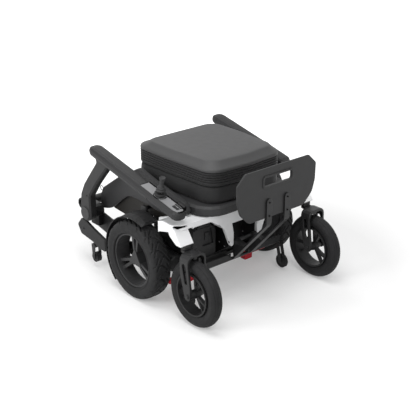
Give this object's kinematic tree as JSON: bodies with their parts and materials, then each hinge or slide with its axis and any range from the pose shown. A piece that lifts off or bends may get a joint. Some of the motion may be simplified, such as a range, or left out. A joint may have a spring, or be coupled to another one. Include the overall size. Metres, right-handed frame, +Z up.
{
  "type": "folding power wheelchair",
  "caption": "Folding power wheelchair folded flat: backrest down on the seat, footplate up in front, armrests lowered at the sides, joystick on the right arm.",
  "frame": {"origin": "on the floor, at the middle of the folded chair's length and width", "axes": "+Z up; the chair faces -Y, so the footplate and casters are at -Y; +X is the chair's left, and the joystick arm is on -X"},
  "size_m": [0.711, 0.8655, 0.554],
  "materials": {
    "white_cast": "satin, slightly bluish white",
    "black_plastic": "fine-grained matte moulding",
    "grey_plastic": "satin dark grey moulding",
    "black_metal": "black powder coat",
    "fabric": "woven dark grey cover",
    "tyre": "matte tyre rubber",
    "rubber": "matte moulded rubber",
    "steel": "plain steel",
    "red_plastic": "red moulding",
    "light_panel": "light grey panel"
  },
  "bodies": {
    "seat_base": {"front_frame": "white_cast", "chassis": "black_plastic", "seat_pan": "black_plastic", "seat_cushion": "fabric", "footrest_bracket": "black_plastic", "footplate_pin": "steel", "stem_housing_left": "black_metal", "stem_housing_right": "black_metal", "front_roller_frame": "black_metal", "backrest_bracket": "black_metal", "release_ring": "black_metal"},
    "footrest": {"footplate": "grey_plastic", "footplate_bars": "black_metal"},
    "backrest": {"backrest_shell": "grey_plastic", "backrest_cushion": "fabric", "backrest_arms": "black_metal"},
    "rear_frame": {"rear_cross_tube": "black_metal", "side_plate_left": "black_metal", "rear_arm_left": "black_plastic", "post_bracket_left": "black_metal", "drive_motor_left": "black_metal", "fender_left": "black_plastic", "rear_roller_fork_left": "black_metal", "side_plate_right": "black_metal", "rear_arm_right": "black_plastic", "post_bracket_right": "black_metal", "drive_motor_right": "black_metal", "fender_right": "black_plastic", "rear_roller_fork_right": "black_metal"},
    "joystick_gimbal": {"joystick_gimbal": "steel"},
    "joystick_stick": {"joystick_stick": "rubber"},
    "power_button": {"power_button": "rubber"},
    "speed_button": {"speed_button": "rubber"},
    "armrest_left": {"armrest_post_left": "grey_plastic", "armrest_pad_left": "grey_plastic", "pivot_cap_left": "grey_plastic"},
    "drive_wheel_left": {"drive_rim_left": "grey_plastic", "drive_tyre_left": "tyre"},
    "caster_left": {"caster_fork_left": "black_metal"},
    "caster_wheel_left": {"caster_rim_left": "grey_plastic", "caster_tyre_left": "tyre"},
    "rear_roller_left": {"rear_roller_left": "rubber"},
    "front_roller_left": {"front_roller_left": "rubber"},
    "battery_left": {"battery_left": "black_plastic"},
    "freewheel_lever_left": {"freewheel_lever_left": "red_plastic"},
    "armrest_right": {"armrest_post_right": "grey_plastic", "armrest_pad_right": "grey_plastic", "pivot_cap_right": "grey_plastic", "joystick_module": "grey_plastic", "joystick_panel": "light_panel", "joystick_boot": "rubber"},
    "drive_wheel_right": {"drive_rim_right": "grey_plastic", "drive_tyre_right": "tyre"},
    "caster_right": {"caster_fork_right": "black_metal"},
    "caster_wheel_right": {"caster_rim_right": "grey_plastic", "caster_tyre_right": "tyre"},
    "rear_roller_right": {"rear_roller_right": "rubber"},
    "front_roller_right": {"front_roller_right": "rubber"},
    "battery_right": {"battery_right": "black_plastic"},
    "freewheel_lever_right": {"freewheel_lever_right": "red_plastic"}
  },
  "joints": [
    {"name": "unfold", "type": "hinge", "parent": "seat_base", "child": "rear_frame", "pos_m": [0, 0.052, 0.318], "axis": [1, 0, 0], "range_deg": [0, 30]},
    {"name": "backrest_fold", "type": "hinge", "parent": "seat_base", "child": "backrest", "pos_m": [0, 0.2035, 0.455], "axis": [1, 0, 0], "range_deg": [-100, 0]},
    {"name": "footrest_fold", "type": "hinge", "parent": "seat_base", "child": "footrest", "pos_m": [0, -0.229, 0.2235], "axis": [1, 0, 0], "range_deg": [0, 90]},
    {"name": "joystick_pitch", "type": "hinge", "parent": "armrest_right", "child": "joystick_gimbal", "pos_m": [-0.308, -0.12398, 0.4429], "axis": [1, 0, 0], "range_deg": [-15, 15], "stiffness_Nm_per_rad": 0.3},
    {"name": "joystick_roll", "type": "hinge", "parent": "joystick_gimbal", "child": "joystick_stick", "pos_m": [-0.308, -0.12398, 0.4429], "axis": [0, 0.9763, 0.2164], "range_deg": [-15, 15], "stiffness_Nm_per_rad": 0.3},
    {"name": "power_button_press", "type": "slide", "parent": "armrest_right", "child": "power_button", "axis": [0, 0.2164, -0.9763], "range_m": [0, 0.001], "stiffness_N_per_m": 300},
    {"name": "speed_button_press", "type": "slide", "parent": "armrest_right", "child": "speed_button", "axis": [0, 0.2164, -0.9763], "range_m": [0, 0.001], "stiffness_N_per_m": 300},
    {"name": "armrest_swing_left", "type": "hinge", "parent": "rear_frame", "child": "armrest_left", "pos_m": [0.308, 0.332, 0.232], "axis": [1, 0, 0], "range_deg": [-42, 0]},
    {"name": "drive_spin_left", "type": "hinge", "parent": "rear_frame", "child": "drive_wheel_left", "pos_m": [0.317, 0.004, 0.1525], "axis": [1, 0, 0], "continuous": true},
    {"name": "caster_swivel_left", "type": "hinge", "parent": "seat_base", "child": "caster_left", "pos_m": [0.302, -0.253, 0.27], "axis": [0, 0, 1], "range_deg": [-20, 110]},
    {"name": "caster_spin_left", "type": "hinge", "parent": "caster_left", "child": "caster_wheel_left", "pos_m": [0.302, -0.308, 0.125], "axis": [1, 0, 0], "continuous": true},
    {"name": "rear_roller_spin_left", "type": "hinge", "parent": "rear_frame", "child": "rear_roller_left", "pos_m": [0.298, 0.306, 0.045], "axis": [1, 0, 0], "continuous": true},
    {"name": "front_roller_spin_left", "type": "hinge", "parent": "seat_base", "child": "front_roller_left", "pos_m": [0.24, -0.196, 0.039], "axis": [1, 0, 0], "continuous": true},
    {"name": "battery_slide_left", "type": "slide", "parent": "seat_base", "child": "battery_left", "axis": [0, -1, 0], "range_m": [0, 0.22]},
    {"name": "lever_turn_left", "type": "hinge", "parent": "seat_base", "child": "freewheel_lever_left", "pos_m": [0.152, -0.083, 0.0575], "axis": [0, 0, 1], "range_deg": [-40, 0]},
    {"name": "armrest_swing_right", "type": "hinge", "parent": "rear_frame", "child": "armrest_right", "pos_m": [-0.308, 0.332, 0.232], "axis": [1, 0, 0], "range_deg": [-42, 0]},
    {"name": "drive_spin_right", "type": "hinge", "parent": "rear_frame", "child": "drive_wheel_right", "pos_m": [-0.317, 0.004, 0.1525], "axis": [1, 0, 0], "continuous": true},
    {"name": "caster_swivel_right", "type": "hinge", "parent": "seat_base", "child": "caster_right", "pos_m": [-0.302, -0.253, 0.27], "axis": [0, 0, 1], "range_deg": [-110, 20]},
    {"name": "caster_spin_right", "type": "hinge", "parent": "caster_right", "child": "caster_wheel_right", "pos_m": [-0.302, -0.308, 0.125], "axis": [1, 0, 0], "continuous": true},
    {"name": "rear_roller_spin_right", "type": "hinge", "parent": "rear_frame", "child": "rear_roller_right", "pos_m": [-0.298, 0.306, 0.045], "axis": [1, 0, 0], "continuous": true},
    {"name": "front_roller_spin_right", "type": "hinge", "parent": "seat_base", "child": "front_roller_right", "pos_m": [-0.24, -0.196, 0.039], "axis": [1, 0, 0], "continuous": true},
    {"name": "battery_slide_right", "type": "slide", "parent": "seat_base", "child": "battery_right", "axis": [0, -1, 0], "range_m": [0, 0.22]},
    {"name": "lever_turn_right", "type": "hinge", "parent": "seat_base", "child": "freewheel_lever_right", "pos_m": [-0.152, -0.083, 0.0575], "axis": [0, 0, 1], "range_deg": [0, 40]}
  ],
  "couplings": [
    {"joint": "armrest_swing_left", "follows": "unfold", "ratio": -1.39},
    {"joint": "armrest_swing_right", "follows": "unfold", "ratio": -1.39}
  ]
}
